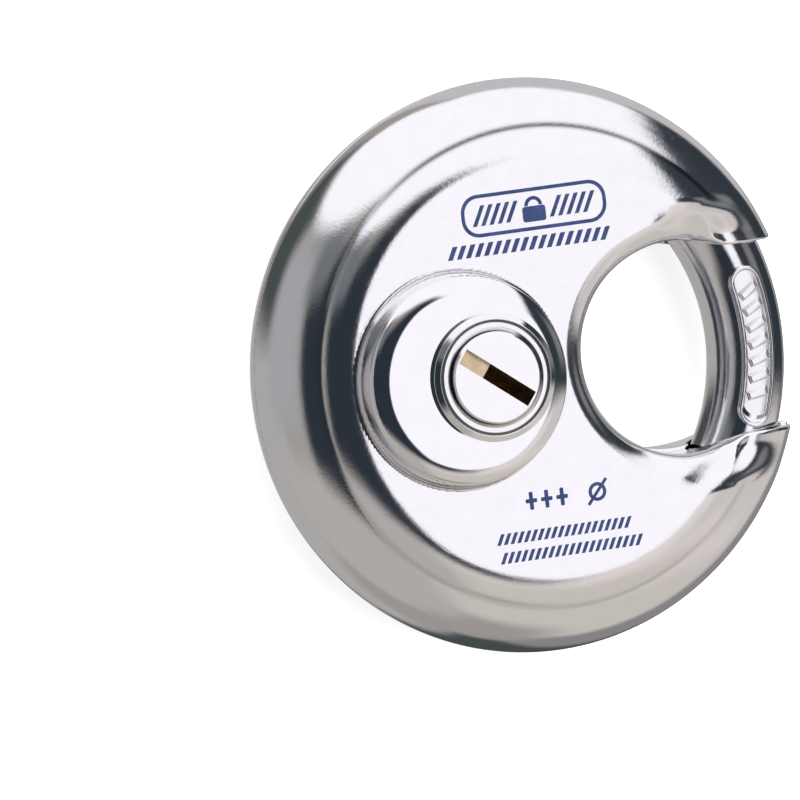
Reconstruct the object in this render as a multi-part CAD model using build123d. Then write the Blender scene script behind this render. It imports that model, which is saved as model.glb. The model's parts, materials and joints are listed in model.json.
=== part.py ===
from build123d import *
import os
from math import atan2, cos, degrees, hypot, radians, sin

# Disc padlock, in millimetres.
# +Z is the axis of the disc and points to the keyhole side, +X points to the bite.
# The origin is on the disc axis, in the plane of the back face.

os.makedirs("parts", exist_ok=True)

# ---- driving dimensions: body ----
BODY_R = 35.0            # the nominal size of the lock is its 70 mm diameter
EDGE_R = 8.2             # section radius of the rounded rim, outside
WALL = 1.2               # sheet thickness of both shells
MID_Z = 9.4              # split plane between the shells, above the back face
FACE_RISE = 9.4          # front face above the split plane, and back face below it
FLAT_R = 25.0            # edge of the flat face
CREASE_R = 29.3          # corner between the rim and the shoulder of the raised face

# ---- driving dimensions: bite and jaws ----
BITE_X = 17.7            # centre of the round throat of the bite
BITE_R = 13.0
JAW_Y = 11.5             # half of the gap between the two jaws
LIP_R = 2.2              # rolled edge of the bite on the front face
BACK_BITE_R = 12.5       # the back shell reaches slightly further in
BACK_JAW_Y = 11.2
JAW_WALL = 2.6           # end wall of a jaw, with the round hole that the bar runs through

# ---- driving dimensions: dome and keyhole ----
DOME_X = -12.0           # centre of the round boss over the cylinder
DOME_R = 13.2
DOME_RISE = 13.6         # top of the boss above the split plane
DOME_FLAT_R = 10.2       # edge of its flat top
CROWN_R = 4.5            # round from the flat top down to the steep flank
CROWN_TURN = 34.0        # slope where the round meets the flank, degrees
PLUG_X = -9.25           # turning axis of the plug
PLUG_R = 5.6
PLUG_PROUD = 1.7         # face of the plug above the top of the boss
COLLAR_R = 7.8
COLLAR_RISE = 1.15       # ridge of the collar above the top of the boss
COLLAR_NECK_R = 6.7      # part of the collar in the shell's round hole

# ---- driving dimensions: shackle ----
BAR_R = 4.75
RING_R = 28.65           # circle that the bar's centre line follows
BAR_PLAY = 0.4           # room round the bar in the jaws
FREE_END = -33.5         # angle of its free end when locked
ARM_ANGLE = 147.5        # angle of its arm when locked
BAR_TAIL = 165.0         # angle of its hidden end when locked
BADGE_FROM = -20.5       # raised panel on the front of the bar, degrees
BADGE_TO = 17.5
BADGE_WIDTH = 4.2
BADGE_RISE = 0.25
BADGE_TOP = BAR_R + 1

# ---- driving dimensions: mechanism ----
CRANK_R = 5.89           # drive pin from the plug's axis
DRIVE_PIN_R = 2.0
SLOT_PLAY = 0.45         # room each side of the drive pin in the arm's slot
ARM_TOP = -2.7           # arm plate, from the split plane
ARM_THICK = 2.0
HOUSING_R = 10.0
HOUSING_LOW = -0.3       # from the split plane
HOUSING_HIGH = 11.5
RUN = 0.06               # running clearance of turning and sliding parts
PIN_ANGLE = 142.5        # direction of the pin chambers, seen from the plug's axis
PIN_R = 1.15
PIN_COUNT = 4
PIN_PITCH = 2.6
PIN_FIRST = 1.5          # lowest chamber above the split plane
KEY_PIN_LENGTHS = (4.4, 5.0, 4.6, 5.3)
KEY_PIN_TRAVEL = 0.8
DRIVER_LENGTH = 1.6
KEYWAY_HALF = 5.15       # half length of the slot in the plug's cap
KEYWAY_WIDTH = 2.0
KEYWAY_ROOF = 1.3        # the slot in the plug behind ends here, on the pins' side
CAP_THICK = 1.0
CHAMBER_END = 9.2        # outer end of the chambers, from the plug's axis


def polar(radius, angle):
    return (radius * cos(radians(angle)), radius * sin(radians(angle)))


def at_mid(shape):
    """Lift a shape that was drawn about the split plane to its place."""
    return Pos(0, 0, MID_Z) * shape


def disc(x, y, radius, low, high):
    """Upright cylinder between two heights above the split plane."""
    return Pos(x, y, low) * Cylinder(radius, high - low, align=(Align.CENTER, Align.CENTER, Align.MIN))


def block(x_range, y_range, z_range):
    size = [high - low for low, high in (x_range, y_range, z_range)]
    corner = (x_range[0], y_range[0], z_range[0])
    return Pos(*corner) * Box(*size, align=(Align.MIN, Align.MIN, Align.MIN))


def spun(*edges):
    """Solid of revolution about Z from a closed outline drawn in the XZ plane."""
    outline = Plane.XZ * make_face(Curve() + list(edges))
    return revolve(outline, Axis.Z)


# ---- body shells ----

def crease_point(inset):
    """Corner where the rim's round meets the shoulder's round, both shrunk by the inset."""
    shoulder_r, shoulder_z = shoulder_round()
    rim_x = BODY_R - EDGE_R
    apart = hypot(FLAT_R - rim_x, shoulder_z)
    rim = EDGE_R - inset
    shoulder = shoulder_r - inset
    along = (rim ** 2 - shoulder ** 2 + apart ** 2) / (2 * apart)
    aside = (rim ** 2 - along ** 2) ** 0.5
    way_x = (FLAT_R - rim_x) / apart
    way_z = shoulder_z / apart
    return (rim_x + along * way_x + aside * way_z, along * way_z - aside * way_x)


def shoulder_round():
    """Radius and centre height of the round between the crease and the flat face."""
    crease_z = (EDGE_R ** 2 - (CREASE_R - BODY_R + EDGE_R) ** 2) ** 0.5
    drop = FACE_RISE - crease_z
    radius = ((CREASE_R - FLAT_R) ** 2 + drop ** 2) / (2 * drop)
    return radius, FACE_RISE - radius


def half_body(inset):
    """One half of the body as a plain turned solid, shrunk by the inset."""
    shoulder_r, shoulder_z = shoulder_round()
    rim_x = BODY_R - EDGE_R
    top = FACE_RISE - inset
    crease = crease_point(inset)
    rim_angle = degrees(atan2(crease[1], crease[0] - rim_x))
    foot_angle = degrees(atan2(crease[1] - shoulder_z, crease[0] - FLAT_R))
    return spun(
        Line((0, 0), (BODY_R - inset, 0)),
        CenterArc((rim_x, 0), EDGE_R - inset, 0, rim_angle),
        CenterArc((FLAT_R, shoulder_z), shoulder_r - inset, foot_angle, 90 - foot_angle),
        Line((FLAT_R, top), (0, top)),
        Line((0, top), (0, 0)),
    )


def dome(inset):
    """Round boss over the lock cylinder: a steep flank, a corner and a crowned top."""
    crown = CROWN_R - inset
    crown_z = DOME_RISE - CROWN_R
    corner = polar(crown, 90 - CROWN_TURN)
    profile = spun(
        Line((0, 0), (DOME_R - inset, 0)),
        Line((DOME_R - inset, 0), (DOME_R - inset, FACE_RISE - inset)),
        Line((DOME_R - inset, FACE_RISE - inset), (DOME_FLAT_R + corner[0], crown_z + corner[1])),
        CenterArc((DOME_FLAT_R, crown_z), crown, 90 - CROWN_TURN, CROWN_TURN),
        Line((DOME_FLAT_R, DOME_RISE - inset), (0, DOME_RISE - inset)),
        Line((0, DOME_RISE - inset), (0, 0)),
    )
    return Pos(DOME_X, 0, 0) * profile


def bite(throat_r, jaw_y, low, high):
    """Round throat with two parallel sides that run out through the rim."""
    throat = disc(BITE_X, 0, throat_r, low, high)
    mouth = block((BITE_X, BODY_R + 5), (-jaw_y, jaw_y), (low, high))
    return throat + mouth


def bite_lip():
    """Quarter-round that rolls the front face down into the throat."""
    low = FACE_RISE - LIP_R
    inner = BITE_R - 0.5
    outer = BITE_R + LIP_R
    flare = spun(
        Line((inner, low), (BITE_R, low)),
        CenterArc((outer, low), LIP_R, 180, -90),
        Line((outer, FACE_RISE), (outer, FACE_RISE + 1)),
        Line((outer, FACE_RISE + 1), (inner, FACE_RISE + 1)),
        Line((inner, FACE_RISE + 1), (inner, low)),
    )
    return Pos(BITE_X, 0, 0) * flare


def bar_channel():
    """Ring passage that the shackle bar travels in."""
    return Torus(RING_R, BAR_R + BAR_PLAY)


def front_shell():
    outside = half_body(0) + dome(0)
    outside -= bite(BITE_R, JAW_Y, -1, DOME_RISE) + bite_lip()
    hollow = half_body(WALL) + dome(WALL)
    hollow -= bite(BITE_R + WALL, JAW_Y + JAW_WALL, -1, DOME_RISE)
    hollow -= disc(BITE_X, 0, BITE_R + WALL + LIP_R / 2, FACE_RISE - WALL - LIP_R / 2, DOME_RISE)
    keyhole = disc(PLUG_X, 0, COLLAR_NECK_R, FACE_RISE, DOME_RISE + 1)
    return at_mid(outside - hollow - bar_channel() - keyhole)


def back_shell():
    outside = half_body(0) - bite(BACK_BITE_R, BACK_JAW_Y, -1, FACE_RISE + 1)
    hollow = half_body(WALL) - bite(BACK_BITE_R + WALL, BACK_JAW_Y + JAW_WALL, -1, FACE_RISE)
    return at_mid(mirror(outside - hollow - bar_channel(), about=Plane.XY))


# ---- shackle ----

def arc_band(radius, width, from_angle, to_angle, low, high):
    """Curved strip with round ends, upright between two heights."""
    centre_line = CenterArc((0, 0), radius, from_angle, to_angle - from_angle)
    return Pos(0, 0, low) * extrude(SlotArc(centre_line, width), high - low)


def badge():
    """Raised outline with slanted ribs on the front of the bar."""
    end_trim = degrees(BADGE_WIDTH / 2 / RING_R)
    first = BADGE_FROM + end_trim
    last = BADGE_TO - end_trim
    outline = arc_band(RING_R, BADGE_WIDTH, first, last, 0, BADGE_TOP)
    outline -= arc_band(RING_R, BADGE_WIDTH - 0.9, first, last, 0, BADGE_TOP)
    rib_count = 7
    for index in range(rib_count):
        angle = first + (index + 0.5) * (last - first) / rib_count
        rib = Rot(0, 0, 24) * Box(2.1, 0.8, BADGE_TOP, align=(Align.CENTER, Align.CENTER, Align.MIN))
        outline += Rot(0, 0, angle) * Pos(RING_R, 0, 0) * rib
    skin = Torus(RING_R, BAR_R + BADGE_RISE) - Torus(RING_R, BAR_R - 0.3)
    return outline & skin


def shackle():
    path = CenterArc((0, 0), RING_R, FREE_END, BAR_TAIL - FREE_END)
    section = Plane(origin=path @ 0, z_dir=path % 0) * Circle(BAR_R)
    bar = sweep(section, path)
    bar = chamfer(bar.edges().filter_by(GeomType.CIRCLE).sort_by(Axis.Y)[0], 0.9)
    seat = Rot(0, 0, ARM_ANGLE) * block((20, 36), (-8.3, 8.3), (-BAR_R - 1, ARM_TOP))
    bar -= seat
    for hole in rivet_places():
        bar -= disc(*hole, 1.25, ARM_TOP - 1, ARM_TOP + 2.2)
    return at_mid(bar + badge())


def rivet_places():
    return [polar(RING_R - 0.9, ARM_ANGLE + side * 9) for side in (-1, 1)]


def shackle_arm():
    """Flat arm that the drive pin moves: its slot points to the disc's axis."""
    near = hypot(PLUG_X, CRANK_R)
    far = CRANK_R - PLUG_X
    slot_half = DRIVE_PIN_R + SLOT_PLAY
    low = ARM_TOP - ARM_THICK
    tongue = block((near - slot_half + 0.6, RING_R), (-5.3, 5.3), (low, ARM_TOP))
    tongue += disc(near + 0.6, 0, 5.3, low, ARM_TOP)
    head = block((24.2, 31), (-8.1, 8.1), (low, ARM_TOP)) & disc(0, 0, 30.2, low, ARM_TOP)
    slot = block((near, far), (-slot_half, slot_half), (low - 1, ARM_TOP + 1))
    slot += disc(near, 0, slot_half, low - 1, ARM_TOP + 1)
    slot += disc(far, 0, slot_half, low - 1, ARM_TOP + 1)
    arm = Rot(0, 0, ARM_ANGLE) * (tongue + head - slot)
    for hole in rivet_places():
        arm -= disc(*hole, 1.25, low - 1, ARM_TOP + 1)
    return at_mid(arm)


def arm_rivets():
    low = ARM_TOP - ARM_THICK
    rivets = [disc(*hole, 1.25, low, ARM_TOP + 2.2) for hole in rivet_places()]
    return at_mid(Compound(children=rivets))


# ---- lock cylinder ----

def pin_plane(index):
    """Plane whose Z runs outwards along a pin chamber from the plug's axis."""
    height = MID_Z + PIN_FIRST + index * PIN_PITCH
    direction = polar(1, PIN_ANGLE)
    return Plane(origin=(PLUG_X, 0, height), x_dir=(0, 0, 1), z_dir=(*direction, 0))


def pin_rod(index, radius, start, end):
    rod = Cylinder(radius, end - start, align=(Align.CENTER, Align.CENTER, Align.MIN))
    return pin_plane(index) * Pos(0, 0, start) * rod


def chamber_pocket(play):
    """Recess across the chamber mouths, which the cover strip closes."""
    low = PIN_FIRST - PIN_R - 0.35 - play
    high = PIN_FIRST + (PIN_COUNT - 1) * PIN_PITCH + PIN_R + 0.25 + play
    strip = block((CHAMBER_END, CHAMBER_END + 0.8 + play), (-1.6 - play, 1.6 + play), (low, high))
    return at_mid(Pos(PLUG_X, 0, 0) * Rot(0, 0, PIN_ANGLE) * strip)


def ear_range():
    """Heights of the housing's ears, just under the chassis plate."""
    high = FACE_RISE - 2 * WALL
    return high - 1.4, high


def ear_places():
    return [(DOME_X, side * 12.4) for side in (-1, 1)]


def cylinder_housing():
    barrel = chamfer(disc(DOME_X, 0, HOUSING_R, HOUSING_LOW, HOUSING_HIGH).edges().sort_by(Axis.Z)[-1], 0.8)
    ears = ear_range()
    for x, y in ear_places():
        barrel += disc(x, y, 2.9, *ears) + block((x - 2.9, x + 2.9), sorted((0, y)), ears)
    barrel -= disc(PLUG_X, 0, PLUG_R + RUN, HOUSING_LOW - 1, HOUSING_HIGH + 1)
    for x, y in ear_places():
        barrel -= disc(x, y, 1.3, ears[0] - 1, ears[1] + 1)
    barrel = at_mid(barrel)
    for index in range(PIN_COUNT):
        barrel -= pin_rod(index, PIN_R + RUN, PLUG_R - 1, CHAMBER_END + 2)
    return barrel - chamber_pocket(RUN)


def keyway(roof, low, high):
    """Slot for the key, from its floor to its roof on the pins' side."""
    half = KEYWAY_WIDTH / 2
    slot = block((-KEYWAY_HALF, roof), (-half, half), (low, high))
    return Pos(PLUG_X, 0, 0) * Rot(0, 0, PIN_ANGLE) * slot


def plug_cap():
    """Hard face of the plug, with the key slot through it."""
    face = DOME_RISE + PLUG_PROUD
    cap = chamfer(disc(PLUG_X, 0, PLUG_R, face - CAP_THICK, face).edges().sort_by(Axis.Z)[-1], 0.2)
    return at_mid(cap - keyway(KEYWAY_HALF, 0, face + 1))


def plug():
    face = DOME_RISE + PLUG_PROUD - CAP_THICK
    body = disc(PLUG_X, 0, PLUG_R, HOUSING_LOW, face)
    body += disc(PLUG_X, 0, 4.2, HOUSING_LOW - 0.7, HOUSING_LOW)
    body += block((PLUG_X - 2.4, PLUG_X + 2.4), (-2.4, 2.4), (HOUSING_LOW - 2.0, HOUSING_LOW))
    body -= keyway(KEYWAY_ROOF, 0.3, face + 1)
    body = at_mid(body)
    for index, length in enumerate(KEY_PIN_LENGTHS):
        tip = key_pin_start() - length - KEY_PIN_TRAVEL
        body -= pin_rod(index, PIN_R + RUN, tip - 0.2, PLUG_R + 1)
    return body


def key_pin_start():
    """Outer end of a key pin, with its flat end just inside the plug's surface."""
    return (PLUG_R ** 2 - PIN_R ** 2) ** 0.5 - 0.03


def key_pin(index):
    end = key_pin_start()
    length = KEY_PIN_LENGTHS[index]
    pin = pin_rod(index, PIN_R, end - length, end)
    tip = pin.edges().filter_by(GeomType.CIRCLE).sort_by(Axis((PLUG_X, 0, 0), (*polar(1, PIN_ANGLE), 0)))[0]
    return chamfer(tip, 0.5)


def driver_pin(index):
    return pin_rod(index, PIN_R, PLUG_R + RUN, PLUG_R + RUN + DRIVER_LENGTH)


def pin_spring(index):
    wire = 0.13
    start = PLUG_R + RUN + DRIVER_LENGTH + wire + 0.02
    length = CHAMBER_END - wire - 0.02 - start
    coil = Helix(pitch=length / 4, height=length, radius=PIN_R - 0.3)
    section = Plane(origin=coil @ 0, z_dir=coil % 0) * Circle(wire)
    return pin_plane(index) * Pos(0, 0, start) * sweep(section, coil, is_frenet=True)


def plug_clip():
    low = HOUSING_LOW - 0.65
    high = HOUSING_LOW - 0.06
    ring = disc(PLUG_X, 0, 5.4, low, high) - disc(PLUG_X, 0, 4.25, low - 1, high + 1)
    ring -= block((PLUG_X + 3, PLUG_X + 7), (-2.2, 2.2), (low - 1, high + 1))
    return at_mid(ring)


def cam():
    high = HOUSING_LOW - 0.7
    low = HOUSING_LOW - 2.0
    plate = disc(PLUG_X, 0, 5.6, low, high) + disc(PLUG_X, CRANK_R, 3.2, low, high)
    plate -= block((PLUG_X - 2.4, PLUG_X + 2.4), (-2.4, 2.4), (low - 1, high + 1))
    return at_mid(plate - disc(PLUG_X, CRANK_R, DRIVE_PIN_R, low - 1, high + 1))


def drive_pin():
    high = HOUSING_LOW - 0.7
    low = ARM_TOP - ARM_THICK - 0.5
    pin = disc(PLUG_X, CRANK_R, DRIVE_PIN_R, low, high)
    return at_mid(chamfer(pin.edges().filter_by(GeomType.CIRCLE).sort_by(Axis.Z)[0], 0.3))


def keyhole_collar():
    """Turned ring round the plug: a bevelled outer ridge, a groove and a sloped inner seat."""
    foot = DOME_RISE - WALL
    bore = PLUG_R + 0.15
    ridge_z = DOME_RISE + COLLAR_RISE
    groove_z = DOME_RISE + 0.5
    seat_z = DOME_RISE + 0.95
    inner_z = DOME_RISE + PLUG_PROUD - 0.3
    outline = [
        (bore, foot), (COLLAR_NECK_R, foot), (COLLAR_NECK_R, DOME_RISE), (COLLAR_R, DOME_RISE),
        (COLLAR_R - 0.65, ridge_z), (COLLAR_R - 0.77, ridge_z), (COLLAR_R - 0.9, groove_z),
        (COLLAR_R - 1.3, groove_z), (COLLAR_R - 1.35, seat_z), (COLLAR_R - 1.62, seat_z), (bore, inner_z),
    ]
    corners = zip(outline, outline[1:] + outline[:1])
    ring = spun(*[Line(start, end) for start, end in corners])
    return at_mid(Pos(PLUG_X, 0, 0) * ring)


def drill_guard():
    """Hard washer between the boss and the cylinder."""
    guard = disc(DOME_X, 0, 8.6, HOUSING_HIGH, DOME_RISE - WALL)
    guard -= disc(PLUG_X, 0, PLUG_R + 0.2, HOUSING_HIGH - 1, DOME_RISE)
    return at_mid(guard)


def chassis():
    """Pressed carrier: a plate under the front face with a skirt that guides the bar."""
    high = FACE_RISE - WALL
    skirt_r = RING_R - BAR_R - BAR_PLAY
    cup = disc(0, 0, skirt_r, -2.0, high) - disc(0, 0, skirt_r - WALL, -3, high - WALL)
    cup -= disc(DOME_X, 0, HOUSING_R + RUN, -3, high + 1)
    cup -= bite(BITE_R + WALL + 1.4, JAW_Y + WALL + 0.3, -3, high + 1)
    for x, y in ear_places():
        cup -= disc(x, y, 1.3, 0, high + 1)
    return at_mid(cup)


def housing_screws():
    screws = []
    seat = ear_range()[0]
    for x, y in ear_places():
        socket = Pos(x, y, seat - 1.7) * extrude(RegularPolygon(1.1, 6), 1.1)
        head = disc(x, y, 2.3, seat - 1.5, seat) - socket
        screws.append(head + disc(x, y, 1.3, seat, FACE_RISE - WALL))
    return at_mid(Compound(children=screws))


NODES = {
    "front_shell": front_shell,
    "back_shell": back_shell,
    "chassis": chassis,
    "housing_screws": housing_screws,
    "cylinder_housing": cylinder_housing,
    "chamber_cover": lambda: chamber_pocket(0),
    "drill_guard": drill_guard,
    "keyhole_collar": keyhole_collar,
    "plug": plug,
    "plug_cap": plug_cap,
    "plug_clip": plug_clip,
    "cam": cam,
    "drive_pin": drive_pin,
    "shackle": shackle,
    "shackle_arm": shackle_arm,
    "arm_rivets": arm_rivets,
}

for node, make in NODES.items():
    export_step(make(), f"parts/{node}.step")

for number in range(PIN_COUNT):
    export_step(key_pin(number), f"parts/key_pin_{number + 1}.step")
    export_step(driver_pin(number), f"parts/driver_pin_{number + 1}.step")
    export_step(pin_spring(number), f"parts/pin_spring_{number + 1}.step")
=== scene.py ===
import json
import math

import bmesh
import bpy
import numpy as np
from mathutils import Matrix, Vector


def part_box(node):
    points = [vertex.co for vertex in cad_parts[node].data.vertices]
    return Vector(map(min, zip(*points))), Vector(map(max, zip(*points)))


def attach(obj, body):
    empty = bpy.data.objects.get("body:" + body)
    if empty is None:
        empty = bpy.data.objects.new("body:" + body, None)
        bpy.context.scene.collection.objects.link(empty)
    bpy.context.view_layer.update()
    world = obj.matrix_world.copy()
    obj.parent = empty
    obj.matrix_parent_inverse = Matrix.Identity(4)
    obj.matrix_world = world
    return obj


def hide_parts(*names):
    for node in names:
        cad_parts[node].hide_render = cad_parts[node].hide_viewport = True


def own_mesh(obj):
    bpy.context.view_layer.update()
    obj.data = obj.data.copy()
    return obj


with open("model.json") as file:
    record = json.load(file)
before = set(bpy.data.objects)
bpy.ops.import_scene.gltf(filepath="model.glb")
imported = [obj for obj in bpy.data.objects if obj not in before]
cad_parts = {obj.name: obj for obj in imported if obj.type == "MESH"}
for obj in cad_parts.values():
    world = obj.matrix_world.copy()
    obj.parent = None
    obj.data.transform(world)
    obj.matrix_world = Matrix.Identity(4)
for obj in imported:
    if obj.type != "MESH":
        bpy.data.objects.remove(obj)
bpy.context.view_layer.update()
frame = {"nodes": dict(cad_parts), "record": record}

MM = 0.001

# ---- places taken from the frame ----
MID_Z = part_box("front_shell")[0].z                    # split plane between the two shells
BODY_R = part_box("back_shell")[1].y
CENTRE = Vector((0, 0, MID_Z))
PLUG_X = (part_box("plug_cap")[0].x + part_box("plug_cap")[1].x) / 2


# ---- small helpers ----

def add_object(name, data):
    made = bpy.data.objects.new(name, data)
    bpy.context.scene.collection.objects.link(made)
    return made


def build_mesh(name, points, faces):
    mesh = bpy.data.meshes.new(name)
    mesh.from_pydata(points, [], faces)
    return mesh


def shade_smooth(mesh):
    mesh.polygons.foreach_set("use_smooth", [True] * len(mesh.polygons))


def write_back(made, mesh):
    """Put edited faces into the mesh, in an order that is the same each run."""
    ordered = sorted(made.faces, key=lambda face: tuple(face.calc_center_median()))
    for number, face in enumerate(ordered):
        face.index = number
    made.faces.sort()
    made.to_mesh(mesh)
    made.free()


def mark_points(mesh, name, values):
    """Store one number per point, which the metals read by its name."""
    mesh.attributes.new(name, "FLOAT", "POINT").data.foreach_set("value", values)


# ---- view ----
TILT = math.radians(20.3)          # camera's lean from the disc axis
LEAN_TURN = math.radians(4.0)      # the lean points this much above the picture's left
ROLL = math.radians(7.0)           # the bite's axis against the picture's horizontal
DISTANCE = 2.5
SENSOR = 36                        # millimetres, as Blender counts a lens
PICTURE_WIDTH = 0.09728            # what the picture spans at the lock
OFFSET_RIGHT = 0.01520             # the lock's centre from the picture's centre
OFFSET_UP = 0.00428

RIGHT = Vector((math.cos(ROLL), -math.sin(ROLL), 0))
UP = Vector((math.sin(ROLL), math.cos(ROLL), 0))
AXIS = Vector((0, 0, 1))


def direction(across, up):
    """Unit vector from the lock: degrees to the right of the disc's axis, then degrees up."""
    a, b = math.radians(across), math.radians(up)
    return math.cos(b) * (math.sin(a) * RIGHT + math.cos(a) * AXIS) + math.sin(b) * UP


def make_camera():
    lean = math.cos(LEAN_TURN) * RIGHT - math.sin(LEAN_TURN) * UP
    toward = math.cos(TILT) * AXIS - math.sin(TILT) * lean
    picture_right = UP.cross(toward).normalized()
    picture_up = toward.cross(picture_right)
    place = CENTRE + DISTANCE * toward
    target = CENTRE - OFFSET_RIGHT * picture_right - OFFSET_UP * picture_up
    back = (place - target).normalized()
    side = UP.cross(back).normalized()
    top = back.cross(side)
    data = bpy.data.cameras.new("camera")
    data.sensor_width = SENSOR
    data.lens = SENSOR * DISTANCE / PICTURE_WIDTH
    data.clip_start = 0.01
    camera = add_object("camera", data)
    rotation = Matrix((side, top, back)).transposed().to_4x4()
    camera.matrix_world = Matrix.Translation(place) @ rotation
    bpy.context.scene.camera = camera


make_camera()


# ---- studio ----

TENT_R = 0.9
TENT_STEP = 1.5                    # degrees between the tent's points
WHITE = (1.02, 1.00, 1.05)
FLOOR_GLOW = (0.34, 0.32, 0.30)    # the tent's light where no card or sheet is
FLOOR_Z = -0.05 * MM               # just under the lock's flat back
FLOOR_HALF = 3.0

# Lower edge of the overhead sheet: degrees to the right, degrees up.
SHEET_EDGE = [
    (-180, 66), (-165, 54), (-150, 48), (-125, 47), (-105, 43), (-60, 37), (-35, 33), (-20, 30),
    (0, 25), (9, 20), (14, 12), (17, 3), (19, -4), (24, 0), (30, 8), (45, 26), (60, 39), (80, 47),
    (105, 47), (116, 44), (128, 58), (180, 66),
]
SHEET_SOFTNESS = 7                 # degrees over which that edge fades

# Cards under the sheet: centre right and up, half sizes, colour, edge softness, all in degrees.
CARDS = {
    "low_front": (70, -38, 78, 30, (0.58, 0.54, 0.50), 16),
    "low_light": (45, -15, 50, 18, (0.74, 0.69, 0.67), 18),
    "low_far": (90, -12, 45, 16, (0.60, 0.56, 0.54), 12),
    "back_right": (152, 22, 34, 40, (0.54, 0.52, 0.53), 12),
    "back_low": (135, -30, 20, 40, (0.25, 0.24, 0.24), 14),
    "back_gap": (162, -36, 12, 30, (0.06, 0.07, 0.07), 8),
    "left_low": (-140, -20, 48, 30, (0.42, 0.41, 0.40), 14),
    "left_below": (-60, -55, 60, 28, (0.44, 0.42, 0.40), 16),
    "left_dark": (-132, 26, 30, 20, (0.065, 0.075, 0.075), 16),
    "camera": (-15, -3, 36, 25, (0.024, 0.031, 0.042), 14),
    "left_mid": (-50, 26, 24, 12, (0.16, 0.17, 0.18), 10),
    "left_grey": (-84, 8, 28, 26, (0.38, 0.375, 0.39), 22),
    "right_dark": (72, 22, 49, 28, (0.032, 0.040, 0.050), 9),
    "right_grey": (68, 12, 12, 8, (0.20, 0.20, 0.20), 12),
    "face_light": (20.5, -4, 10, 13, WHITE, 4),
}


def ramp(value, edge, softness):
    """Smooth step from 0 to 1, half way up at the edge."""
    share = min(1.0, max(0.0, (value - edge) / softness + 0.5))
    return share * share * (3 - 2 * share)


def sheet_edge(across):
    """How far up the overhead sheet begins, in this direction."""
    return float(np.interp(across, *zip(*SHEET_EDGE)))


def mix(low, high, share):
    return [l * (1 - share) + h * share for l, h in zip(low, high)]


def panel_light(across, up):
    """Colour of the tent in one direction: later cards cover earlier ones, and the sheet covers all."""
    colour = list(FLOOR_GLOW)
    for middle_a, middle_up, half_a, half_up, tint, soft in CARDS.values():
        share = ramp(half_a, abs(across - middle_a), soft) * ramp(half_up, abs(up - middle_up), soft)
        colour = mix(colour, tint, share)
    return mix(colour, WHITE, ramp(up, sheet_edge(across), SHEET_SOFTNESS))


def make_tent_light():
    """Material that glows with the colour stored at each point of the tent."""
    material = bpy.data.materials.new("studio_light")
    material.use_nodes = True
    tree = material.node_tree
    tree.nodes.clear()
    source = tree.nodes.new("ShaderNodeVertexColor")
    source.layer_name = "light"
    glow = tree.nodes.new("ShaderNodeEmission")
    out = tree.nodes.new("ShaderNodeOutputMaterial")
    tree.links.new(source.outputs["Color"], glow.inputs["Color"])
    tree.links.new(glow.outputs["Emission"], out.inputs["Surface"])
    return material


def make_tent():
    """Sphere of soft boxes and cards round the lock, seen only in the metal's reflections."""
    points, faces, colours = [], [], []
    columns = int(360 / TENT_STEP)
    rows = int(180 / TENT_STEP)
    for row in range(rows + 1):
        up = -90 + row * TENT_STEP
        for column in range(columns):
            across = -180 + column * TENT_STEP
            points.append(CENTRE + TENT_R * direction(across, up))
            colours.append(panel_light(across, up))
    for row in range(rows):
        for column in range(columns):
            after = (column + 1) % columns
            base = row * columns
            faces.append((base + column, base + after, base + columns + after, base + columns + column))
    mesh = build_mesh("studio_tent", points, faces)
    layer = mesh.color_attributes.new("light", "FLOAT_COLOR", "POINT")
    for item, colour in zip(layer.data, colours):
        item.color = (*colour, 1)
    shade_smooth(mesh)
    tent = add_object("studio_tent", mesh)
    mesh.materials.append(make_tent_light())
    tent.visible_camera = False
    tent.visible_diffuse = False
    tent.visible_shadow = False
    tent.visible_transmission = False


def make_floor():
    """White paper that glows a little, so that it stays near white under soft light."""
    corners = [(x * FLOOR_HALF, y * FLOOR_HALF, FLOOR_Z) for x, y in ((-1, -1), (1, -1), (1, 1), (-1, 1))]
    mesh = build_mesh("floor", corners, [(0, 1, 2, 3)])
    floor = add_object("floor", mesh)
    material = bpy.data.materials.new("floor_paper")
    material.use_nodes = True
    shader = material.node_tree.nodes["Principled BSDF"]
    shader.inputs["Base Color"].default_value = (0.36, 0.36, 0.36, 1)
    shader.inputs["Emission Color"].default_value = (1, 1, 1, 1)
    shader.inputs["Emission Strength"].default_value = 0.78
    shader.inputs["Roughness"].default_value = 0.9
    shader.inputs["Specular IOR Level"].default_value = 0.0
    mesh.materials.append(material)
    floor.visible_glossy = False


def lamp(name, across, up, distance, size, power):
    """Soft lamp that lights the floor and paint, and stays out of the metal's reflections."""
    ray = direction(across, up)
    data = bpy.data.lights.new(name, "AREA")
    data.shape = "DISK"
    data.size = size
    data.energy = power
    light = add_object(name, data)
    light.location = CENTRE + distance * ray
    light.rotation_euler = ray.to_track_quat("Z", "Y").to_euler()
    light.visible_glossy = False
    light.visible_camera = False


def make_studio():
    make_tent()
    make_floor()
    lamp("lamp_main", 22, 12, 1.0, 1.2, 24)
    lamp("lamp_top", -20, 45, 1.1, 1.0, 14)
    world = bpy.data.worlds.new("world")
    bpy.context.scene.world = world
    world.use_nodes = True
    sky = world.node_tree.nodes["Background"]
    sky.inputs["Color"].default_value = (0.93, 0.93, 0.93, 1)
    sky.inputs["Strength"].default_value = 0.55
    bpy.context.scene.view_settings.view_transform = "Standard"


make_studio()


# ---- materials ----

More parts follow.
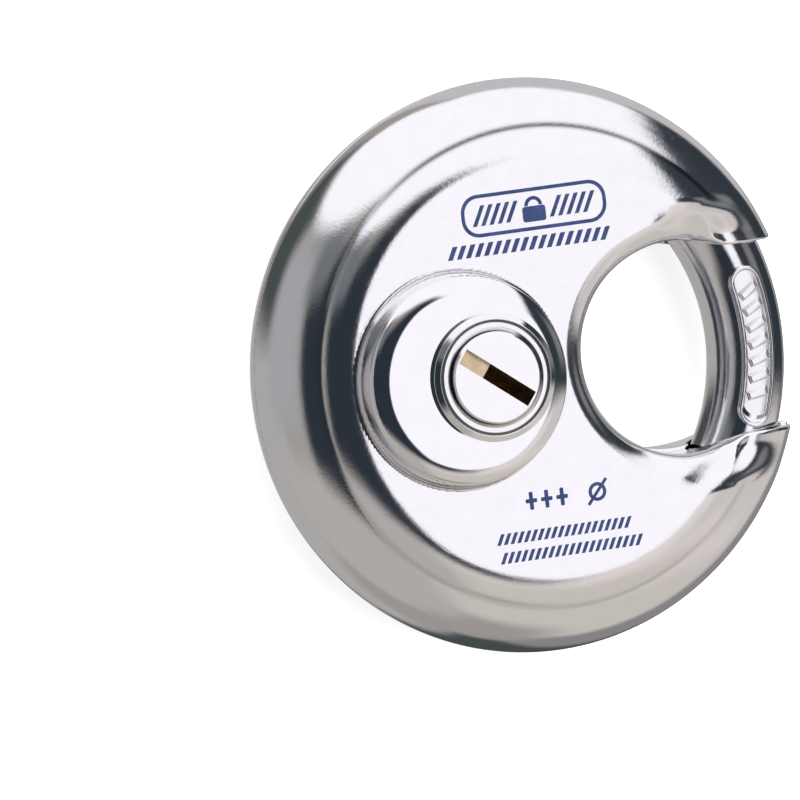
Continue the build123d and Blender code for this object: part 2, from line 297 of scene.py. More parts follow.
class Graph:
    """Small helper that adds and links the nodes of one material."""

    def __init__(self, name):
        self.material = bpy.data.materials.new(name)
        self.material.use_nodes = True
        self.tree = self.material.node_tree
        self.shader = self.tree.nodes["Principled BSDF"]
        self.place = self.tree.nodes.new("ShaderNodeTexCoord").outputs["Object"]

    def feed(self, node, socket, value):
        """Give an input a value, or a link where the value is another node's output."""
        if isinstance(value, bpy.types.NodeSocket):
            self.tree.links.new(value, node.inputs[socket])
        else:
            node.inputs[socket].default_value = value

    def node(self, kind, links=None, **settings):
        made = self.tree.nodes.new(kind)
        for key, value in settings.items():
            setattr(made, key, value)
        for socket, value in (links or {}).items():
            self.feed(made, socket, value)
        return made

    def math(self, operation, a, b=0.0):
        return self.node("ShaderNodeMath", {0: a, 1: b}, operation=operation).outputs[0]

    def noise(self, scale, detail=2.0, place=None, roughness=0.5):
        links = {"Vector": place or self.place, "Scale": scale, "Detail": detail, "Roughness": roughness}
        return self.node("ShaderNodeTexNoise", links).outputs["Fac"]

    def spread(self, value, low, high, to_low, to_high):
        links = {"Value": value, "From Min": low, "From Max": high, "To Min": to_low, "To Max": to_high}
        return self.node("ShaderNodeMapRange", links).outputs["Result"]

    def blend(self, share, first, second):
        mixer = self.node("ShaderNodeMix", {0: share}, data_type="RGBA")
        for socket, colour in ((6, first), (7, second)):
            self.feed(mixer, socket, colour if isinstance(colour, bpy.types.NodeSocket) else (*colour, 1))
        return mixer.outputs[2]

    def ring_place(self, centre_x, along, across):
        """Coordinates about an upright axis at centre_x, drawn out along the turning direction."""
        parts = self.node("ShaderNodeSeparateXYZ", {0: self.place})
        x = self.math("SUBTRACT", parts.outputs[0], centre_x)
        y = parts.outputs[1]
        out = self.math("SQRT", self.math("ADD", self.math("MULTIPLY", x, x), self.math("MULTIPLY", y, y)))
        turn = self.math("ARCTAN2", y, x)
        links = {0: self.math("MULTIPLY", out, across), 1: self.math("MULTIPLY", turn, along)}
        links[2] = self.math("MULTIPLY", parts.outputs[2], across)
        return self.node("ShaderNodeCombineXYZ", links).outputs[0]

    def bump(self, height, distance, under=None):
        links = {"Height": height, "Distance": distance, "Strength": 1.0}
        if under is not None:
            links["Normal"] = under
        return self.node("ShaderNodeBump", links).outputs["Normal"]

    def finish(self, colour, roughness, normal, metal=1.0):
        for socket, value in (("Base Color", colour), ("Roughness", roughness), ("Normal", normal)):
            self.tree.links.new(value, self.shader.inputs[socket])
        self.shader.inputs["Metallic"].default_value = metal
        return self.material


MICRON = 1e-6

# Sizes of the metals' textures, in cells per metre.
WAVE_SCALE = 150
STAIN_SCALE = 420
GRAIN_SCALE = 2600
SPECK_SCALE = 5200
LINES_OUT = 5200                   # turning lines, per metre away from their axis
LINES_ROUND = 14                   # and per radian round it


def make_metal(name, tint, worn, smooth, rough, grain, lines, wave, centre_x):
    """Metal with grain, turning lines, slow waves, stains, worn edges and painted shade in its creases and
    grooves.

    tint and worn are colours, smooth and rough bound the roughness,
    grain, lines and wave are heights in micrometres,
    and the turning lines run round an axis at centre_x.
    """
    graph = Graph(name)
    fine = graph.noise(GRAIN_SCALE, 3.0, roughness=0.6)
    ring = graph.ring_place(centre_x, LINES_ROUND, LINES_OUT)
    brushed = graph.noise(1.0, 3.0, ring, 0.65)
    slow = graph.noise(WAVE_SCALE, 2.0)
    stain = graph.noise(STAIN_SCALE, 5.0, roughness=0.62)
    polish = graph.node("ShaderNodeAttribute", attribute_name="polish").outputs["Fac"]
    crease_shade = graph.node("ShaderNodeAttribute", attribute_name="crease_shade").outputs["Fac"]
    satin = graph.spread(polish, 0.0, 1.0, 1.0, 0.15)
    normal = graph.bump(slow, wave * MICRON)
    normal = graph.bump(graph.math("MULTIPLY", brushed, satin), lines * MICRON, normal)
    normal = graph.bump(graph.math("MULTIPLY", fine, satin), grain * MICRON, normal)
    edge = graph.node("ShaderNodeNewGeometry").outputs["Pointiness"]
    ridge = graph.spread(edge, 0.52, 0.60, 0.0, 1.0)
    wear = graph.math("MULTIPLY", ridge, graph.spread(fine, 0.35, 0.6, 0.3, 1.0))
    patch = graph.spread(stain, 0.35, 0.7, 0.0, 1.0)
    colour = graph.blend(patch, tint, [c * 0.98 for c in tint])
    colour = graph.blend(wear, colour, worn)
    speck = graph.spread(graph.noise(SPECK_SCALE, 2.0), 0.70, 0.78, 0.0, 0.35)
    colour = graph.blend(speck, colour, [c * 0.55 for c in tint])
    # painted shade: in creases and grooves the colour darkens towards 0.16 of the tint, as far as the
    # point mark says
    colour = graph.blend(crease_shade, colour, [c * 0.16 for c in tint])
    roughness = graph.spread(stain, 0.3, 0.7, smooth, rough)
    roughness = graph.math("ADD", roughness, graph.math("MULTIPLY", wear, 0.06))
    roughness = graph.math("MULTIPLY", roughness, graph.spread(polish, 0.0, 1.0, 1.0, 0.5))
    return graph.finish(colour, roughness, normal)


# Colour, colour at worn edges, least and most roughness, heights of grain, lines and waves.
FINISHES = {
    "shell_steel": ((0.94, 0.935, 0.95), (0.97, 0.97, 0.98), 0.09, 0.14, 7.5, 5.0, 26),
    "plain_steel": ((0.60, 0.60, 0.61), (0.74, 0.74, 0.75), 0.26, 0.40, 5, 5, 40),
    "fastener_steel": ((0.58, 0.58, 0.60), (0.72, 0.72, 0.72), 0.22, 0.36, 4, 3, 10),
    "hard_steel": ((0.32, 0.32, 0.34), (0.55, 0.55, 0.56), 0.28, 0.42, 5, 6, 20),
    "spring_steel": ((0.68, 0.68, 0.69), (0.8, 0.8, 0.8), 0.18, 0.28, 2, 0, 5),
    "brass": ((0.80, 0.60, 0.36), (0.92, 0.76, 0.52), 0.22, 0.36, 4, 6, 10),
    "plug_nickel": ((0.93, 0.93, 0.94), (0.97, 0.97, 0.97), 0.06, 0.12, 1.2, 1.5, 8),
    "polished_chrome": ((0.92, 0.92, 0.93), (0.97, 0.97, 0.97), 0.03, 0.08, 0.8, 0.8, 5),
    "shackle_chrome": ((0.91, 0.905, 0.92), (0.96, 0.96, 0.96), 0.07, 0.13, 3.0, 6.0, 25),
}
TURNED_ON_PLUG = ("brass", "plug_nickel", "polished_chrome")

METALS = {}
for slot, finish in FINISHES.items():
    METALS[slot] = make_metal(slot, *finish, centre_x=PLUG_X if slot in TURNED_ON_PLUG else 0.0)

for part in frame["record"]["subparts"]:
    shown = frame["nodes"][part["node"]]
    shown.data.materials.clear()
    shown.data.materials.append(METALS[part["material_slot"]])


# ---- pressed shells as smooth surfaces, with heights above the split plane ----

RIM_R = 8.2 * MM                   # section radius of the rounded rim
RIM_X = BODY_R - RIM_R
FACE_Z = 9.4 * MM                  # flat face
FLAT_R = 25.0 * MM
SHOULDER_R = 6.6 * MM              # round that drops from the flat face to the crease
CREASE_R = 0.12 * MM
SHEET = 1.2 * MM

DOME_X = -12.0 * MM                # boss over the cylinder
DOME_R = 13.1 * MM
DOME_FLAT = 10.2 * MM
DOME_TOP = 13.6 * MM
CROWN_R = 4.5 * MM
CROWN_EDGE = 0.3 * MM
FLANK_LEAN = 0.13                  # the boss's flank narrows by this much of its height
DOME_FOOT_R = 0.55 * MM
NECK_R = 6.7 * MM                  # hole for the collar

BITE_X = 17.7 * MM
BITE_R = 13.0 * MM
BACK_LEDGE = 0.5 * MM              # the back shell stands this much further into the bite
MOUTH_R = 1.2 * MM                 # round where the bite meets the jaws
LIP_R = 2.9 * MM
LIP_SWELL = 1.1 * MM               # the rolled lip is wider near the jaws
SWELL_X = (12 * MM, 21 * MM)       # where it widens
SHARPEN_X = (20.5 * MM, 25.8 * MM)  # and where it turns to the jaws' plain edge
EDGE_ROUND = 0.35 * MM
CUT_ROUND = 0.1 * MM               # edges of the holes
SPLIT_ROUND = 0.18 * MM            # edge at the seam between the shells

RING_R = 28.65 * MM                # centre line of the bar
BAR_HOLE = 5.15 * MM
TUBE_R = 6.35 * MM                 # the jaws close round the bar with this section
JAW_FRONT = 11.5 * MM              # half of the gap between the jaws
JAW_BACK = 11.2 * MM
JAW_X = (8 * MM, 15 * MM)          # the jaws' shapes fade in over this stretch
TUBE_OUT = (21.4 * MM, 28.4 * MM)  # the tube fades in outwards
TUBE_DEPTH = (1.2 * MM, 6.6 * MM)  # and out away from the mouth
SOFT_DEPTH = (4.0 * MM, 7.0 * MM)  # the crease is softer this near to the mouth
SOFT_CREASE = 0.95 * MM

FINE_STEP = 0.28 * MM


def ease(value, low, high):
    """Smooth step from 0 at low to 1 at high."""
    share = np.clip((value - low) / (high - low), 0, 1)
    return share * share * (3 - 2 * share)


def round_cut(a, b, radius):
    """Overlap of two solids with a rounded outer edge."""
    corner = np.hypot(np.maximum(radius + a, 0), np.maximum(radius + b, 0))
    return np.minimum(-radius, np.maximum(a, b)) + corner


def round_join(a, b, radius):
    """Two solids together with a fillet between them."""
    corner = np.hypot(np.maximum(radius - a, 0), np.maximum(radius - b, 0))
    return np.maximum(radius, np.minimum(a, b)) - corner


def pan_parts(x, y, z):
    """Distances to the rounded rim, and to the raised face with its shoulder."""
    out = np.hypot(x, y)
    rim = np.hypot(np.maximum(out - RIM_X, 0), z) - RIM_R
    low = FACE_Z - SHOULDER_R
    raised = np.hypot(np.maximum(out - FLAT_R, 0), np.maximum(z - low, 0)) - SHOULDER_R
    return rim, raised


def pan(x, y, z, fillet=CREASE_R):
    """Distance to the turned pan: rounded rim, then the shoulder and flat face, with a fillet where rim
    and shoulder meet.
    """
    rim, raised = pan_parts(x, y, z)
    return round_join(rim, raised, fillet)


def boss(x, y, z):
    """Distance to the round boss over the cylinder."""
    out = np.hypot(x - DOME_X, y)
    crown = np.hypot(np.maximum(out - DOME_FLAT, 0), np.maximum(z - DOME_TOP + CROWN_R, 0)) - CROWN_R
    flank = out - DOME_R + FLANK_LEAN * (z - FACE_Z)
    return round_cut(crown, flank, CROWN_EDGE)


def jaw_tube(x, y, z, skin, jaw):
    """Near the mouth the pan closes to a tube round the bar."""
    out = np.hypot(x, y)
    tube = np.hypot(np.maximum(out - RING_R, 0), z) - TUBE_R
    near = 1 - ease(np.abs(y) - jaw, *TUBE_DEPTH)
    share = near * ease(out, *TUBE_OUT) * ease(x, *JAW_X)
    return skin * (1 - share) + tube * share


def opening(x, y, throat, jaw):
    """Depth into the bite: positive in the gap, negative in the metal round it."""
    round_part = np.hypot(x - BITE_X, y) - throat
    mouth = np.maximum(np.abs(y) - jaw, BITE_X - x)
    return -round_join(round_part, mouth, MOUTH_R)


def shell_field(x, y, z, front):
    """Distance to one shell, negative inside its sheet metal; z runs outwards from the split plane."""
    throat = BITE_R if front else BITE_R - BACK_LEDGE
    jaw = JAW_FRONT if front else JAW_BACK
    closing = (1 - ease(np.abs(y) - jaw, *SOFT_DEPTH)) * ease(x, *JAW_X)
    skin = pan(x, y, z, CREASE_R + SOFT_CREASE * closing)
    if front:
        skin = round_join(skin, boss(x, y, z), DOME_FOOT_R)
    skin = jaw_tube(x, y, z, skin, jaw)
    lip = LIP_R + LIP_SWELL * ease(x, *SWELL_X)
    lip += (EDGE_ROUND - LIP_R - LIP_SWELL) * ease(x, *SHARPEN_X)
    outside = round_cut(skin, opening(x, y, throat, jaw), lip)
    sheet = np.maximum(outside, -(outside + SHEET))
    channel = np.hypot(np.hypot(x, y) - RING_R, z) - BAR_HOLE
    sheet = round_cut(sheet, -channel, CUT_ROUND)
    if front:
        sheet = round_cut(sheet, NECK_R - np.hypot(x - PLUG_X, y), CUT_ROUND)
    return round_cut(sheet, -z, SPLIT_ROUND)


def sample_field(field, low, high, step):
    """Values of the field on a grid, worked out finely only near the surface."""
    blocks = 4
    counts = [int(math.ceil((b - a) / (step * blocks))) for a, b in zip(low, high)]
    middles = [a + step * (blocks * np.arange(n) + (blocks - 1) / 2) for a, n in zip(low, counts)]
    coarse = field(*np.meshgrid(*middles, indexing="ij"))
    grid = np.where(coarse > 0, 1.0, -1.0)
    for axis in range(3):
        grid = np.repeat(grid, blocks, axis=axis)
    near = np.argwhere(np.abs(coarse) < step * blocks * 1.1)
    inner = np.stack(np.meshgrid(*[np.arange(blocks)] * 3, indexing="ij"), -1).reshape(-1, 3)
    index = (near[:, None, :] * blocks + inner[None, :, :]).reshape(-1, 3)
    place = np.array(low) + index * step
    grid[tuple(index.T)] = field(*place.T)
    return grid


def net_surface(field, low, high, step):
    """Quad mesh of the field's zero surface: one point in each cell that the surface crosses."""
    grid = sample_field(field, low, high, step)
    solid = grid < 0
    corners = [(i, j, k) for i in (0, 1) for j in (0, 1) for k in (0, 1)]
    cut = [slice(0, -1), slice(1, None)]
    count = sum(solid[cut[i], cut[j], cut[k]].astype(np.int8) for i, j, k in corners)
    cells = np.argwhere((count > 0) & (count < 8))
    number = np.full(count.shape, -1, dtype=np.int64)
    number[tuple(cells.T)] = np.arange(len(cells))
    total = np.zeros((len(cells), 3))
    weight = np.zeros(len(cells))
    for first in corners:
        for axis in range(3):
            if first[axis]:
                continue
            second = list(first)
            second[axis] = 1
            a = grid[tuple((cells + first).T)]
            b = grid[tuple((cells + second).T)]
            crosses = (a < 0) != (b < 0)
            share = np.where(crosses, a / np.where(crosses, a - b, 1), 0)
            point = np.array(first, dtype=float) + share[:, None] * (np.array(second) - np.array(first))
            total += np.where(crosses[:, None], point, 0)
            weight += crosses
    points = np.array(low) + (cells + total / weight[:, None]) * step
    faces = []
    for axis in range(3):
        side = [slice(None)] * 3
        side[axis] = slice(0, -1)
        ahead = [slice(None)] * 3
        ahead[axis] = slice(1, None)
        a, b = solid[tuple(side)], solid[tuple(ahead)]
        u, v = [other for other in range(3) if other != axis]
        for enters in (True, False):
            edges = np.argwhere((a & ~b) if enters else (~a & b))
            edges = edges[(edges[:, u] > 0) & (edges[:, v] > 0)]
            edges = edges[(edges[:, u] < count.shape[u]) & (edges[:, v] < count.shape[v])]
            ring = []
            for du, dv in ((-1, -1), (0, -1), (0, 0), (-1, 0)):
                cell = edges.copy()
                cell[:, u] += du
                cell[:, v] += dv
                ring.append(number[tuple(cell.T)])
            quad = np.stack(ring, 1)
            flip = enters == (axis == 1)
            faces.append(quad[:, ::-1] if flip else quad)
    return points, np.concatenate(faces)


def slope_at(field, points):
    """Unit outward direction of the field, and how steep it is."""
    reach = 0.03 * MM
    parts = []
    for axis in range(3):
        step = np.zeros(3)
        step[axis] = reach
        parts.append(field(*(points + step).T) - field(*(points - step).T))
    slope = np.stack(parts, 1) / (2 * reach)
    size = np.linalg.norm(slope, axis=1, keepdims=True)
    return slope / np.maximum(size, 1e-9), size[:, 0]


CREASE_WIDTH = 0.13 * MM           # width of the painted shade in the crease between rim and shoulder
CREASE_LOW = 7 * MM                # no painted shade below this height
CREASE_LEAST = 0.25                # painted shade away from the upper side, where it is 1
JAW_UNSHADED = (16 * MM, 18.5 * MM)   # no painted shade in the crease between the jaws
FOOT_WIDTH = 0.16 * MM             # width of the painted shade round the boss's foot
# strength of the painted shade round the boss's foot
FOOT_SHADE = 0.75


def surface_marks(points, front):
    """Painted shade in the creases, and where the surface is polished."""
    x, y, z = points.T
    rim, raised = pan_parts(x, y, z)
    # painted shade along the crease between rim and shoulder, darker on the upper side and left out
    # between the jaws
    crease_shade = np.exp(-((rim - raised) / CREASE_WIDTH) ** 2) * (z > CREASE_LOW)
    turn = np.degrees(np.arctan2(y, x))
    crease_shade *= CREASE_LEAST + (1 - CREASE_LEAST) * ease(turn, 0, 50) * (1 - ease(turn, 110, 150))
    crease_shade *= 1 - (1 - ease(np.abs(y), *JAW_UNSHADED)) * ease(x, *JAW_X)
    polish = np.zeros(len(x))
    if front:
        # painted shade round the boss's foot
        foot = np.exp(-((boss(x, y, z) - pan(x, y, z)) / FOOT_WIDTH) ** 2)
        crease_shade = np.maximum(crease_shade, FOOT_SHADE * foot)
        polish = 1 - ease(np.hypot(x - DOME_X, y), DOME_R - 0.1 * MM, DOME_R + 0.9 * MM)
    return {"crease_shade": crease_shade, "polish": polish}


def make_shell(name, node, front):
    """Smooth pressed half of the body, standing for its plain CAD node."""
    def field(x, y, z):
        return shell_field(x, y, z, front)

    step = FINE_STEP
    top = DOME_TOP if front else FACE_Z
    edge = BODY_R + 1.5 * MM
    points, faces = net_surface(field, (-edge, -edge, -1.0 * MM), (edge, edge, top + 1.2 * MM), step)
    for _ in range(3):
        slope, size = slope_at(field, points)
        points -= slope * (np.clip(field(*points.T) / np.maximum(size, 0.3), -step, step))[:, None]
    slope, _ = slope_at(field, points)
    marks = surface_marks(points, front)
    if not front:
        points[:, 2] *= -1
        slope[:, 2] *= -1
        faces = faces[:, ::-1]
    points[:, 2] += MID_Z
    mesh = build_mesh(name, points.tolist(), faces.tolist())
    shade_smooth(mesh)
    mesh.normals_split_custom_set_from_vertices(slope.tolist())
    for label, values in marks.items():
        mark_points(mesh, label, values)
    piece = add_object(name, mesh)
    mesh.materials.append(METALS["shell_steel"])
    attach(piece, "body")
    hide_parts(node)


make_shell("front_cover", "front_shell", True)
make_shell("back_cover", "back_shell", False)


# ---- turned collar round the keyway ----

# Section of the collar, clockwise: radius and height above the boss, in millimetres.
COLLAR = [
    (5.88, -0.60), (5.88, 0.71), (5.66, 0.72), (5.66, 0.80),        # bore and its inner lip
    (6.12, 1.10), (6.68, 1.08), (6.76, 0.92), (6.92, 0.92),         # inner land, then the groove
    (7.03, 1.12), (7.12, 1.13), (7.77, 0.79), (7.80, 0.70),         # outer crest and bevel
    (7.80, -0.05), (7.60, -0.10), (6.60, -0.10), (6.60, -0.60),     # side, flange and neck
]
COLLAR_ROUND = 0.06                # millimetres, at every corner
GROOVE = (6.72, 6.98)              # painted shade sits in the groove, by radius in millimetres
GROOVE_LOW = 0.8 * MM              # but only above this height over the boss
SEAT = (5.6, 6.06)                 # and more thinly beside the plug
SEAT_SHADE = 0.75


def rounded_profile(corners, radius, steps=5):
    """Replace every corner with a short curve that starts and ends up to radius away from it."""
    points = []
    count = len(corners)
    for index, corner in enumerate(corners):
        here = np.array(corner)
        before = np.array(corners[index - 1]) - here
        after = np.array(corners[(index + 1) % count]) - here
        reach = min(radius, 0.45 * np.linalg.norm(before), 0.45 * np.linalg.norm(after))
        start = here + before / np.linalg.norm(before) * reach
        end = here + after / np.linalg.norm(after) * reach
        for step in range(steps + 1):
            share = step / steps
            points.append((1 - share) ** 2 * start + 2 * share * (1 - share) * here + share ** 2 * end)
    return points


def profile_slopes(profile):
    """Outward direction at each point of a clockwise profile, led by the longer side."""
    slopes = []
    for index, here in enumerate(profile):
        before = here - profile[index - 1]
        after = profile[(index + 1) % len(profile)] - here
        weight = np.linalg.norm(before) * before + np.linalg.norm(after) * after
        out = np.array((-weight[1], weight[0]))
        slopes.append(out / np.linalg.norm(out))
    return slopes


def lathe(name, profile, centre_x, base_z, turns=192):
    """Ring turned from a closed profile in millimetres about an axis parallel to the disc's."""
    count = len(profile)
    slopes = profile_slopes(profile)
    points, faces, turned = [], [], []
    for turn in range(turns):
        angle = 2 * math.pi * turn / turns
        c, s = math.cos(angle), math.sin(angle)
        for radius, height in profile:
            points.append((centre_x + radius * MM * c, radius * MM * s, base_z + height * MM))
        turned += [(out * c, out * s, up) for out, up in slopes]
    for turn in range(turns):
        a, b = turn * count, (turn + 1) % turns * count
        for step in range(count):
            after = (step + 1) % count
            faces.append((a + step, a + after, b + after, b + step))
    mesh = build_mesh(name, points, faces)
    shade_smooth(mesh)
    mesh.normals_split_custom_set_from_vertices(turned)
    return add_object(name, mesh)


def collar_shade(place, base_z):
    """How much painted shade the collar has at a place on it."""
    radius = math.hypot(place.x - PLUG_X, place.y) / MM
    if GROOVE[0] < radius < GROOVE[1] and place.z > base_z + GROOVE_LOW:
        return 1.0
    return SEAT_SHADE if SEAT[0] < radius < SEAT[1] else 0.0


def make_collar():
    base_z = MID_Z + DOME_TOP
    collar = lathe("turned_collar", rounded_profile(COLLAR, COLLAR_ROUND), PLUG_X, base_z)
    collar.data.materials.append(METALS["polished_chrome"])
    # painted shade in the collar's groove and, more thinly, beside the plug
    mark_points(collar.data, "crease_shade", [collar_shade(vertex.co, base_z) for vertex in collar.data.vertices])
    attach(collar, "body")
    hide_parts("keyhole_collar")


make_collar()


# ---- raised badge on the front of the bar ----

BADGE_FROM = math.radians(-22.5) * RING_R          # ends of the badge along the ring's centre line
BADGE_TO = math.radians(17.5) * RING_R
BADGE_HALF = 2.1 * MM              # half of its width
BADGE_Z = 5.02 * MM                # crest of the raised outline above the split plane
BADGE_DROP = 0.21 * MM             # the ground between the ribs lies this much lower
BADGE_CROWN = 16 * MM              # radius of its crown across the bar
BADGE_WALL = 1.0 * MM              # depth of its side wall
BADGE_BRIM = 0.12 * MM             # the mesh reaches this far past its outline
BADGE_SHEET = 0.2 * MM
FRAME_WIDTH = (0.40 * MM, 0.62 * MM)               # the raised outline, from its crest to its foot

RIBS = 7
RIBS_FROM = math.radians(-20.5) * RING_R
RIB_LEAN = math.radians(24)
RIB_HALF_WIDE = 0.36 * MM
RIB_HALF_LONG = 1.10 * MM
RIB_SLOPE = 0.2 * MM


def badge_height(along, across, ribs):
    """Height of the badge above the split plane; along runs round the ring's centre line."""
    beyond = along - np.clip(along, BADGE_FROM + BADGE_HALF, BADGE_TO - BADGE_HALF)
    border = BADGE_HALF - np.hypot(beyond, across)
    raised = 1 - ease(border, *FRAME_WIDTH)
    c, s = math.cos(RIB_LEAN), math.sin(RIB_LEAN)
    for centre in ribs:
        a = (along - centre) * c - across * s
        b = (along - centre) * s + across * c
        rib = np.maximum(np.abs(a) - RIB_HALF_WIDE, np.abs(b) - RIB_HALF_LONG)
        raised = np.maximum(raised, 1 - ease(rib, 0.0, RIB_SLOPE))
    crown = across ** 2 / (2 * BADGE_CROWN)
    wall = ease(-border, -0.12 * MM, 0.10 * MM) * BADGE_WALL
    return BADGE_Z - crown - BADGE_DROP * (1 - raised) - wall


def make_badge():
    """Thin raised plate on the bar: a frame with slanted ribs in it."""
    step = 0.07 * MM
    reach = BADGE_TO - RIBS_FROM - 2 * BADGE_HALF
    ribs = [BADGE_TO - BADGE_HALF - (n + 0.5) * reach / RIBS for n in range(RIBS)]
    first, last = BADGE_FROM - BADGE_BRIM, BADGE_TO + BADGE_BRIM
    edge = BADGE_HALF + BADGE_BRIM
    columns = int((last - first) / step) + 1
    rows = int(2 * edge / step) + 1
    grid = np.linspace(first, last, columns), np.linspace(-edge, edge, rows)
    along, across = np.meshgrid(*grid, indexing="ij")
    height = badge_height(along, across, ribs)
    out, turn = RING_R + across, along / RING_R
    points = np.stack([out * np.cos(turn), out * np.sin(turn), MID_Z + height], -1).reshape(-1, 3)
    index = np.arange(columns * rows).reshape(columns, rows)
    quads = np.stack([index[:-1, :-1], index[:-1, 1:], index[1:, 1:], index[1:, :-1]], -1).reshape(-1, 4)
    keep = np.maximum.reduce(height.ravel()[quads], axis=1) > BADGE_Z - 0.95 * BADGE_WALL
    mesh = build_mesh("bar_badge", points.tolist(), quads[keep].tolist())
    made = bmesh.new()
    made.from_mesh(mesh)
    bmesh.ops.delete(made, geom=[v for v in made.verts if not v.link_faces], context="VERTS")
    bmesh.ops.solidify(made, geom=made.faces[:], thickness=BADGE_SHEET)
    write_back(made, mesh)
    shade_smooth(mesh)
    mesh.materials.append(METALS["shackle_chrome"])
    piece = add_object("bar_badge", mesh)
    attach(piece, "shackle")


make_badge()


# ---- pin springs, drawn at one length, though the real ones shorten as the driver pins lift ----

PIN_TURN = math.radians(142.5)     # direction of the pin chambers, seen from the plug's axis
SPRING_R = 0.85 * MM
SPRING_LONG = 1.50 * MM
WIRE_R = 0.09 * MM
COILS = 2.6
CLOSED = 0.6                       # part of a turn that lies flat at each end
SPRING_STEPS = 110                 # along the wire
WIRE_SIDES = 10


def spring_wire(middle, along):
    """Points and faces of a round wire that coils about a line through the middle."""
    across = Vector((-along.y, along.x, 0))
    points, faces = [], []
    for step in range(SPRING_STEPS + 1):
        turned = COILS * step / SPRING_STEPS
        share = min(1, max(0, (turned - CLOSED) / (COILS - 2 * CLOSED)))
        out = math.cos(2 * math.pi * turned) * across + math.sin(2 * math.pi * turned) * AXIS
        centre = middle + SPRING_R * out + (share - 0.5) * (SPRING_LONG - 2 * WIRE_R) * along
        for side in range(WIRE_SIDES):
            angle = 2 * math.pi * side / WIRE_SIDES
            points.append(centre + WIRE_R * (math.cos(angle) * out + math.sin(angle) * along))
    for step in range(SPRING_STEPS):
        base = step * WIRE_SIDES
        for side in range(WIRE_SIDES):
            a, b = base + side, base + (side + 1) % WIRE_SIDES
            faces.append((a, b, b + WIRE_SIDES, a + WIRE_SIDES))
    last = SPRING_STEPS * WIRE_SIDES
    faces += [tuple(range(WIRE_SIDES))[::-1], tuple(range(last, last + WIRE_SIDES))]
    return points, faces


def make_spring(number):
    low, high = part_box(f"pin_spring_{number}")
    middle = (low + high) / 2
    along = Vector((math.cos(PIN_TURN), math.sin(PIN_TURN), 0))
    name = f"coil_spring_{number}"
    mesh = build_mesh(name, *spring_wire(middle, along))
    made = bmesh.new()
    made.from_mesh(mesh)
    bmesh.ops.recalc_face_normals(made, faces=made.faces)
    write_back(made, mesh)
    shade_smooth(mesh)
    mesh.materials.append(METALS["spring_steel"])
    spring = add_object(name, mesh)
    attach(spring, "body")
    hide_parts(f"pin_spring_{number}")
    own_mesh(spring)


for number in range(1, 5):
    make_spring(number)


# ---- printed marks on the flat face: generic signs in place of any lettering ----

DEEP_INK = (0.009, 0.016, 0.056)
THIN_INK = (0.017, 0.027, 0.080)
WORN_INK = (0.20, 0.22, 0.32)
CLOUD_SCALE = 700                  # thick and thin ink, in cells per metre
FLECK_SCALE = 3800                 # specks where it has come off
INK_GAP = 0.015 * MM               # from the face to the printed marks
INK_SHEET = 0.012 * MM
LEVELS = 4                         # shapes lie on this many levels in turn
LEVEL_STEP = 0.003                 # millimetres from one level to the next


def make_ink():
    graph = Graph("navy_ink")
    flecks = graph.noise(FLECK_SCALE, 4.0, roughness=0.6)
    cloud = graph.noise(CLOUD_SCALE, 3.0)
    colour = graph.blend(graph.spread(cloud, 0.3, 0.7, 0.0, 1.0), DEEP_INK, THIN_INK)
    colour = graph.blend(graph.spread(flecks, 0.66, 0.74, 0.0, 0.7), colour, WORN_INK)
    roughness = graph.spread(flecks, 0.3, 0.7, 0.35, 0.6)
    graph.shader.inputs["Specular IOR Level"].default_value = 0.2
    return graph.finish(colour, roughness, graph.bump(flecks, 3 * MICRON), 0.0)


def at(point, angle, centre):
    """Turn a point by the angle, in degrees, and move it to the centre."""
    c, s = math.cos(math.radians(angle)), math.sin(math.radians(angle))
    return (centre[0] + c * point[0] - s * point[1], centre[1] + s * point[0] + c * point[1])


def rounded_box(width, height, radius, steps=8):
    """Outline of a box with round corners, anticlockwise from the upper right one."""
    points = []
    for number, (sx, sy) in enumerate(((1, 1), (-1, 1), (-1, -1), (1, -1))):
        for step in range(steps + 1):
            turn = math.radians(90 * (number + step / steps))
            x = sx * (width / 2 - radius) + radius * math.cos(turn)
            y = sy * (height / 2 - radius) + radius * math.sin(turn)
            points.append((x, y))
    return points


def arc_points(radius, start, end, steps=40):
    """Points along an arc between two angles in degrees."""
    turns = [math.radians(start + (end - start) * step / steps) for step in range(steps + 1)]
    return [(radius * math.cos(turn), radius * math.sin(turn)) for turn in turns]


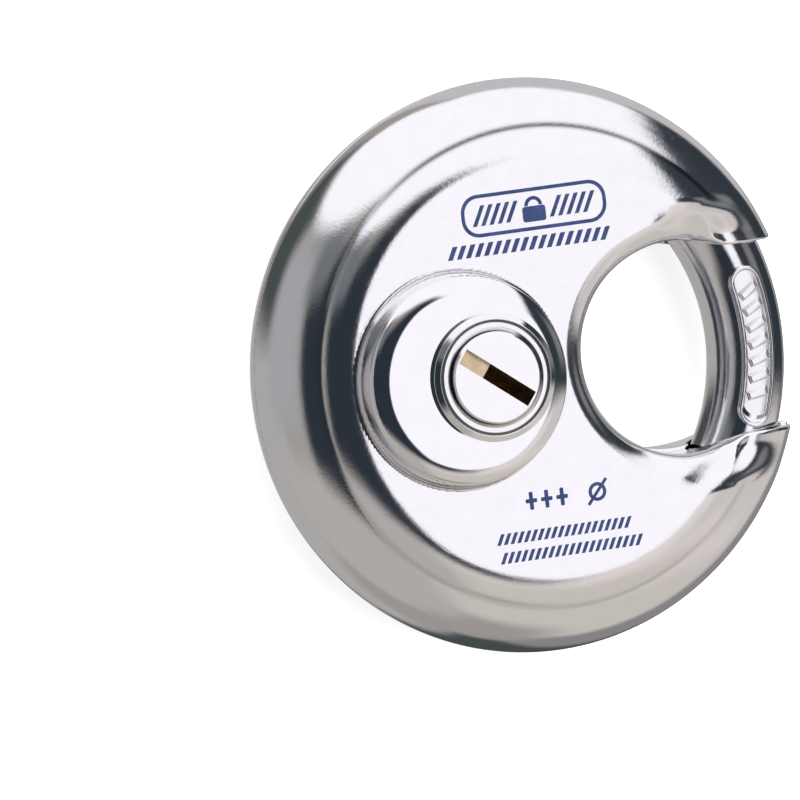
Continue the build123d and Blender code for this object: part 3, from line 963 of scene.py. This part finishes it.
class Stencil:
    """Collects filled shapes, in millimetres on the face, into one thin printed mesh."""

    def __init__(self):
        self.points = []
        self.faces = []
        self.level = 0

    def add(self, outline, centre, angle):
        """Each shape lies a hair above the one before, so that crossing strokes print cleanly."""
        self.level = (self.level + 1) % LEVELS
        self.points += [(*at(point, angle, centre), self.level * LEVEL_STEP) for point in outline]

    def fill(self, outline, centre=(0, 0), angle=0):
        first = len(self.points)
        self.add(outline, centre, angle)
        self.faces.append(tuple(range(first, len(self.points))))

    def band(self, outer, inner, centre=(0, 0), angle=0, closed=True):
        """Strip between two outlines with the same number of points."""
        first = len(self.points)
        count = len(outer)
        self.add(list(outer) + list(inner), centre, angle)
        for step in range(count if closed else count - 1):
            after = (step + 1) % count
            self.faces.append((first + step, first + after, first + count + after, first + count + step))

    def stroke(self, start, end, width):
        """Straight stroke with slightly rounded ends."""
        long = math.dist(start, end)
        angle = math.degrees(math.atan2(end[1] - start[1], end[0] - start[0]))
        middle = ((start[0] + end[0]) / 2, (start[1] + end[1]) / 2)
        self.fill(rounded_box(long, width, width * 0.3, 3), middle, angle)

    def slants(self, centre, width, height, count, share=0.55):
        """Row of slanted strokes, each as wide as its share of the pitch."""
        pitch = width / count
        half = pitch * share / 2
        lean = height * 0.25
        low, high = centre[1] - height / 2, centre[1] + height / 2
        for number in range(count):
            x = centre[0] - width / 2 + (number + 0.5) * pitch
            foot, head = x - lean, x + lean
            self.fill([(foot - half, low), (foot + half, low), (head + half, high), (head - half, high)])

    def make(self, name, material):
        height = MID_Z + FACE_Z + INK_GAP
        points = [(x * MM, y * MM, height + z * MM) for x, y, z in self.points]
        mesh = build_mesh(name, points, self.faces)
        made = bmesh.new()
        made.from_mesh(mesh)
        bmesh.ops.triangulate(made, faces=made.faces)
        for face in made.faces:
            if face.normal.z < 0:
                face.normal_flip()
        bmesh.ops.solidify(made, geom=made.faces[:], thickness=INK_SHEET)
        write_back(made, mesh)
        mesh.materials.append(material)
        piece = add_object(name, mesh)
        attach(piece, "body")


def make_sign(ink):
    """Small padlock between slanted strokes, in a frame."""
    middle = 19.3
    sign = Stencil()
    sign.band(rounded_box(18.8, 5.2, 2.2), rounded_box(17.9, 4.3, 1.8), (0, middle))
    sign.fill(rounded_box(3.0, 1.9, 0.35), (0, middle - 0.6))
    sign.band(arc_points(1.15, 0, 180), arc_points(0.7, 0, 180), (0, middle + 0.4), closed=False)
    for side in (-1, 1):
        sign.slants((side * 5.0, middle), 5.4, 2.5, 5, 0.5)
    sign.make("mark_sign", ink)


def make_size_mark(ink):
    """Three plain crosses and a diameter sign."""
    middle = -15.8
    size = Stencil()
    size.band(arc_points(1.15, 0, 360), arc_points(0.72, 0, 360), (4.0, middle))
    size.stroke((2.7, middle - 1.5), (5.3, middle + 1.5), 0.38)
    for x in (-4.6, -2.6, -0.6):
        size.stroke((x - 0.75, middle), (x + 0.75, middle), 0.5)
        size.stroke((x, middle - 1.1), (x, middle + 1.1), 0.5)
    size.make("mark_size", ink)


def make_rules(name, ink, rows):
    """Rows of slanted strokes: centre, width, height and count of each row."""
    rules = Stencil()
    for row in rows:
        rules.slants(*row)
    rules.make(name, ink)


def make_marks():
    ink = make_ink()
    make_sign(ink)
    make_rules("mark_upper_rule", ink, [((-1.1, 15.2), 21.0, 1.6, 18)])
    make_size_mark(ink)
    lower = [((-0.8, -20.0), 17.4, 1.35, 20), ((-0.1, -22.3), 18.4, 1.35, 21)]
    make_rules("mark_lower_rules", ink, lower)


make_marks()
